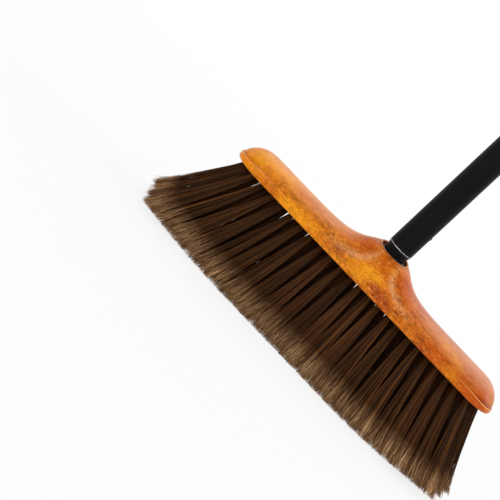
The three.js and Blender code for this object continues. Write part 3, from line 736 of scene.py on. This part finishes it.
def makeRow(index, fibre, split, material):
    name = bristles["rows"][index][0]
    random = np.random.default_rng(bristles["seed"] + index)
    root, tip, tone, gather = fibreEnds(index, random)
    steps = strandSteps(fibre)[1]
    along = np.tile(steps, (len(root), 1))
    radius = bristles["fibreRadius"] + (bristles["fibreTip"] - bristles["fibreRadius"]) * along ** 2
    fibres = bentCopies(fibre, fibrePaths(root, tip, gather, steps, random), radius, along, tone)
    # fine split ends leave the fibres near their tips
    picked = random.integers(0, len(root), len(root) * bristles["splits"] // bristles["fibres"])
    leave = random.uniform(bristles["splitFrom"], bristles["splitTo"], len(picked))[:, None]
    start = root[picked] + (tip - root)[picked] * leave
    start[:, :2] = root[picked, :2] + (tip - root)[picked, :2] * leave ** bristles["splay"]
    strewn = random.normal(0, bristles["splitSpread"], (len(picked), 3))
    end = tip[picked] + strewn * [1.0, bristles["calmAcross"], 1.0]
    end[:, 2] = tip[picked, 2] + np.abs(random.normal(0, bristles["splitShort"], len(picked)))
    ends = strandSteps(split)[1]
    splitPaths = start[:, None] + (end - start)[:, None] * ends[None, :, None]
    splitRadius = np.full((len(picked), len(ends)), bristles["splitRadius"])
    own = random.uniform(0, 1, len(picked)) < bristles["splitOwnTone"]
    splitTone = np.where(own, tone[picked], random.uniform(0, 1, len(picked)) ** bristles["toneSkew"])
    splits = bentCopies(split, splitPaths, splitRadius, leave + (1 - leave) * ends[None], splitTone)
    bm = bmesh.new()
    for mesh in (fibres, splits):
        bm.from_mesh(mesh)
        bpy.data.meshes.remove(mesh)
    row = bpy.data.meshes.new(name)
    bm.to_mesh(row)
    bm.free()
    return finishMesh(name + "_row_fibres", row, material, "head",
                      ["bristle_row_" + name], 180)


# Screw thread of the plug and the groove that it runs in
thread = {
    "pitch": 5 * mm, "crestRadius": 9.4 * mm, "depth": 1.5 * mm, "rootWidth": 2.8 * mm,
    "crestWidth": 1.4 * mm, "length": 20.5 * mm, "relief": 3 * mm, "gap": 0.4 * mm,
    "stepsPerTurn": 40, "fadeTurns": 0.4, "fadeLeast": 0.02, "sink": 0.4 * mm, "startGap": 0.2 * mm,
}


def screwRidge(inner, outer, rootWidth, crestWidth, lowZ, length, zeroZ, fade):
    turns = length / thread["pitch"]
    steps = round(turns * thread["stepsPerTurn"])
    section = (
        (inner, -rootWidth / 2), (outer, -crestWidth / 2),
        (outer, crestWidth / 2), (inner, rootWidth / 2),
    )
    rays = []
    for radius, rise in section:
        ray = []
        for i in range(steps + 1):
            z = lowZ + i / steps * length
            angle = (z - zeroZ) / thread["pitch"] * 2 * math.pi
            fromEnd = min(i, steps - i) / thread["stepsPerTurn"]
            grown = min(1.0, fromEnd / thread["fadeTurns"] + thread["fadeLeast"]) if fade else 1.0
            reach = inner + (radius - inner) * grown
            ray.append(Vector((reach * math.cos(angle), reach * math.sin(angle), z + rise)))
        rays.append(ray)
    return lofted(rays)


# Black socket that is pressed into the neck
socket = {
    "bodyRadius": 11.8 * mm, "flangeHeight": 2.5 * mm, "floor": 2 * mm, "round": 0.35 * mm, "sides": 72,
}


def makeSocket(material):
    core = thread["crestRadius"] - thread["depth"] + thread["gap"]
    flangeZ = insertHigh.z - socket["flangeHeight"]
    cavityZ = insertLow.z + socket["floor"]
    profile = [
        (0.0, insertLow.z), (socket["bodyRadius"], insertLow.z), (socket["bodyRadius"], flangeZ),
        (insertHigh.x, flangeZ), (insertHigh.x, insertHigh.z), (core, insertHigh.z),
        (core, cavityZ), (0.0, cavityZ),
    ]
    body = turned(softened(profile, socket["round"]), socket["sides"])
    lowZ = cavityZ + thread["rootWidth"] / 2 + thread["gap"]
    zeroZ = washerHigh.z + thread["startGap"]
    groove = screwRidge(core - thread["sink"], thread["crestRadius"] + thread["gap"],
                        thread["rootWidth"] + 2 * thread["gap"], thread["crestWidth"] + 2 * thread["gap"],
                        lowZ, insertHigh.z + thread["pitch"] - lowZ, zeroZ, False)
    cut = combined(body, groove, "DIFFERENCE")
    return finishPiece("neck_socket", cut, material, "head", ["socket_insert"], 35)


# Rubber washer under the collar
washer = {"boreRadius": 9.8 * mm, "round": 0.35 * mm, "sides": 72}


def makeWasher(material):
    low, high = washerLow.z, washerHigh.z
    inner, outer = washer["boreRadius"], washerHigh.x
    profile = [(inner, low), (outer, low), (outer, high), (inner, high)]
    ring = turned(softened(profile, washer["round"], 4, True), washer["sides"], True)
    return finishPiece("rubber_washer", ring, material, "washer", ["collar_washer"])


# Plug with the collar, the thread and the snap nub
plug = {
    "collarRadius": 9.7 * mm, "collarHeight": 6.6 * mm, "taper": 4.6 * mm, "lipRadius": 10.9 * mm,
    "shankRadius": 10.0 * mm, "boreRadius": 5.5 * mm, "crown": 3 * mm, "round": 0.3 * mm,
    "tubeGap": 0.3 * mm, "beadHeight": 1.6 * mm, "beadProud": 0.25 * mm, "sides": 72,
    "nubHeight": 22 * mm, "nubRadius": 2.2 * mm, "nubProud": 0.5 * mm, "nubSides": 24,
    "nubDome": 0.6, "domeSteps": 5,
}


# Lays an upright shape along X, at the height of the nub
def atNub(x):
    sideways = Matrix.Rotation(math.pi / 2, 4, "Y")
    return Matrix.Translation((x, 0.0, tubeLow.z + plug["nubHeight"])) @ sideways


def makePlug(material):
    lipZ = tubeLow.z - plug["tubeGap"]
    collarZ = lipZ - plug["collarHeight"]
    taperZ = lipZ - plug["taper"]
    beadZ = collarZ + plug["beadHeight"]
    rootRadius = thread["crestRadius"] - thread["depth"]
    bead = plug["collarRadius"] + plug["beadProud"]
    profile = [
        (0.0, plugHigh.z - plug["crown"]), (plug["boreRadius"], plugHigh.z - plug["crown"]),
        (plug["boreRadius"], plugLow.z), (rootRadius, plugLow.z), (rootRadius, collarZ),
        (bead, collarZ), (bead, beadZ), (plug["collarRadius"], beadZ + plug["beadProud"]),
        (plug["collarRadius"], taperZ), (plug["lipRadius"], lipZ), (plug["shankRadius"], lipZ),
        (plug["shankRadius"], plugHigh.z), (0.0, plugHigh.z),
    ]
    body = turned(softened(profile, plug["round"]), plug["sides"])
    lowZ = collarZ - thread["relief"] - thread["length"]
    ridge = screwRidge(rootRadius - thread["sink"], thread["crestRadius"], thread["rootWidth"],
                       thread["crestWidth"], lowZ, thread["length"], collarZ, True)
    body = combined(body, ridge, "UNION")
    reach = tubeHigh.x + plug["nubProud"]
    inner = plug["boreRadius"] + thread["gap"]
    dome = plug["nubRadius"] * plug["nubDome"]
    nubProfile = [(0.0, inner), (plug["nubRadius"], inner), (plug["nubRadius"], reach - dome)]
    for i in range(1, plug["domeSteps"] + 1):
        angle = i / plug["domeSteps"] * math.pi / 2
        nubProfile.append((plug["nubRadius"] * math.cos(angle), reach - dome + dome * math.sin(angle)))
    nub = turned(nubProfile, plug["nubSides"])
    bmesh.ops.transform(nub, matrix=atNub(0.0), verts=nub.verts)
    body = combined(body, nub, "UNION")
    return finishPiece("screw_plug", body, material, "pole", ["threaded_tip"], 35)


# Steel tube of the pole
tube = {"wall": 0.7 * mm, "round": 0.3 * mm, "sides": 96, "holeGap": 0.3 * mm}


def makeTube(material):
    outer, inner = tubeHigh.x, tubeHigh.x - tube["wall"]
    profile = [(inner, tubeLow.z), (outer, tubeLow.z), (outer, tubeHigh.z), (inner, tubeHigh.z)]
    wall = turned(softened(profile, tube["round"], 3, True), tube["sides"], True)
    hole = bmesh.new()
    radius = plug["nubRadius"] + tube["holeGap"]
    bmesh.ops.create_cone(hole, cap_ends=True, segments=plug["nubSides"], radius1=radius, radius2=radius,
                          depth=outer, matrix=atNub(outer))
    drilled = combined(wall, hole, "DIFFERENCE")
    return finishPiece("pole", drilled, material, "pole", ["pole_tube"])


# Grip with its ribs, skirt and domed end
hold = {
    "boreRadius": 11.3 * mm, "neckRadius": 12.2 * mm, "ribDepth": 0.6 * mm, "ribPitch": 15 * mm, "ribs": 3,
    "skirtHeight": 9 * mm, "lipHeight": 1.8 * mm, "domeHeight": 11 * mm, "domeRadius": 12.6 * mm,
    "crown": 6 * mm, "ribSteps": 14, "domeSteps": 14, "sides": 96, "round": 0.4 * mm,
}


def makeGrip(material):
    low, top = gripLow.z, gripHigh.z
    skirtZ = low + hold["skirtHeight"]
    boreTop = top - hold["crown"]
    inside = [(0.0, boreTop), (hold["boreRadius"], boreTop), (hold["boreRadius"], low)]
    lip = [(gripHigh.x, low), (gripHigh.x, low + hold["lipHeight"])]
    midZ = (low + hold["lipHeight"] + skirtZ) / 2
    profile = softened(inside + lip + [(hold["neckRadius"] + hold["ribDepth"], midZ)], hold["round"])
    count = hold["ribSteps"] * hold["ribs"]
    for i in range(count + 1):
        wave = (1 - math.cos(i / count * hold["ribs"] * 2 * math.pi)) / 2
        z = skirtZ + i / count * hold["ribs"] * hold["ribPitch"]
        profile.append(Vector((hold["neckRadius"] + hold["ribDepth"] * wave, z)))
    for i in range(hold["domeSteps"] + 1):
        angle = i / hold["domeSteps"] * math.pi / 2
        z = top - hold["domeHeight"] + hold["domeHeight"] * math.sin(angle)
        profile.append(Vector((hold["domeRadius"] * math.cos(angle), z)))
    cap = turned(profile, hold["sides"])
    return finishPiece("ribbed_grip", cap, material, "pole", ["grip"], 30)


# Studio: floor, lamps, world and camera
studio = {
    "floorSize": 14.0, "floorColour": (0.82, 0.82, 0.82, 1.0), "shadowShare": 0.17,
    "shadowNear": 0.25, "shadowFar": 0.8, "worldLight": 0.36, "behind": (-0.2, 0.2),
    "lamps": (
        ("key", (-1.2, -2.5, 0.8), 1.6, 34.0),
        ("fill", (1.4, -2.2, 0.6), 1.6, 11.0),
        ("top", (0.2, 1.0, 1.9), 2.2, 28.0),
        ("left", (-1.9, 0.5, 1.15), 1.2, 4.0),
        ("right", (1.9, 0.3, 1.1), 1.2, 19.0),
    ),
    "aim": (0.0, 0.0, 0.11),
}
view = {
    "place": (-56.2 * mm, -1298.9 * mm, 349.9 * mm),
    "yaw": -1.045, "pitch": -13.77, "roll": 46.122, "lens": 122.4, "sensor": 36.0, "clipStart": 10 * mm,
}


# Rays that see the white background: the camera's, those through glass and reflections of what lies behind
def whiteRays(tree, y):
    path = addNode(tree, "ShaderNodeLightPath")
    mirrored = mathNode(tree, "MULTIPLY", path.outputs["Is Glossy Ray"], spread(tree, y, *studio["behind"]))
    seen = mathNode(tree, "MAXIMUM", path.outputs["Is Camera Ray"], mirrored)
    return mathNode(tree, "MAXIMUM", seen, path.outputs["Is Transmission Ray"])


def makeFloor():
    bm = bmesh.new()
    bmesh.ops.create_grid(bm, x_segments=1, y_segments=1, size=studio["floorSize"] / 2)
    mesh = bpy.data.meshes.new("floor")
    bm.to_mesh(mesh)
    bm.free()
    floor = bpy.data.objects.new("floor", mesh)
    scene.collection.objects.link(floor)
    material, tree, shader = newMaterial("pale_floor", {
        "Base Color": studio["floorColour"], "Roughness": 0.9, "Specular IOR Level": 0.1,
    })
    place = addNode(tree, "ShaderNodeTexCoord").outputs["Object"]
    away = addNode(tree, "ShaderNodeVectorMath", {0: place}, operation="LENGTH").outputs["Value"]
    plain = spread(tree, away, studio["shadowNear"], studio["shadowFar"], 1 - studio["shadowShare"], 1.0)
    y = addNode(tree, "ShaderNodeSeparateXYZ", {0: place}).outputs["Y"]
    share = mathNode(tree, "MULTIPLY", plain, whiteRays(tree, y))
    white = addNode(tree, "ShaderNodeEmission", {"Color": (1.0, 1.0, 1.0, 1.0), "Strength": 1.0})
    both = addNode(tree, "ShaderNodeMixShader", {0: share, 1: shader.outputs[0], 2: white.outputs[0]})
    tree.links.new(both.outputs[0], tree.nodes["Material Output"].inputs["Surface"])
    mesh.materials.append(material)


def makeWorld():
    world = bpy.data.worlds.new("studio")
    scene.world = world
    world.use_nodes = True
    tree = world.node_tree
    back = tree.nodes["Background"]
    back.inputs["Color"].default_value = (1.0, 1.0, 1.0, 1.0)
    way = addNode(tree, "ShaderNodeTexCoord").outputs["Generated"]
    white = whiteRays(tree, addNode(tree, "ShaderNodeSeparateXYZ", {0: way}).outputs["Y"])
    tree.links.new(spread(tree, white, 0.0, 1.0, studio["worldLight"], 1.0), back.inputs["Strength"])


def makeLamps():
    for name, place, size, power in studio["lamps"]:
        lamp = bpy.data.lights.new(name, "AREA")
        lamp.shape = "SQUARE"
        lamp.size = size
        lamp.energy = power
        holder = bpy.data.objects.new(name, lamp)
        scene.collection.objects.link(holder)
        holder.location = place
        way = Vector(studio["aim"]) - Vector(place)
        holder.rotation_euler = way.to_track_quat("-Z", "Y").to_euler()
        holder.visible_camera = False


def makeCamera():
    yaw, pitch, roll = (math.radians(view[key]) for key in ("yaw", "pitch", "roll"))
    ahead = Vector((math.sin(yaw) * math.cos(pitch), math.cos(yaw) * math.cos(pitch), math.sin(pitch)))
    level = Vector((math.cos(yaw), -math.sin(yaw), 0.0))
    upright = level.cross(ahead)
    right = level * math.cos(roll) + upright * math.sin(roll)
    up = upright * math.cos(roll) - level * math.sin(roll)
    data = bpy.data.cameras.new("main_view")
    data.lens = view["lens"]
    data.sensor_width = view["sensor"]
    data.clip_start = view["clipStart"]
    camera = bpy.data.objects.new("main_view", data)
    scene.collection.objects.link(camera)
    turn = Matrix((right, up, -ahead)).transposed().to_4x4()
    camera.matrix_world = Matrix.Translation(view["place"]) @ turn
    scene.camera = camera


makeCamera()
makeFloor()
makeWorld()
makeLamps()
print("studio ready")

blackPlastic = grainedMaterial("moulded_black")[0]
makeHead(stainedWood())
makeSocket(blackPlastic)
makeWasher(grainedMaterial("grey_rubber")[0])
makePlug(blackPlastic)
makeTube(blackPaint())
makeGrip(grainedMaterial("grip_plastic")[0])
fibreMaterial = bristleFibre()
plainFibre = plainStrand("plain_fibre", 1.0, 3)
plainSplit = plainStrand("plain_split", bristles["splitTip"], 0)
for rowIndex in range(len(bristles["rows"])):
    makeRow(rowIndex, plainFibre, plainSplit, fibreMaterial)
for template in (plainFibre, plainSplit):
    bpy.data.meshes.remove(template)
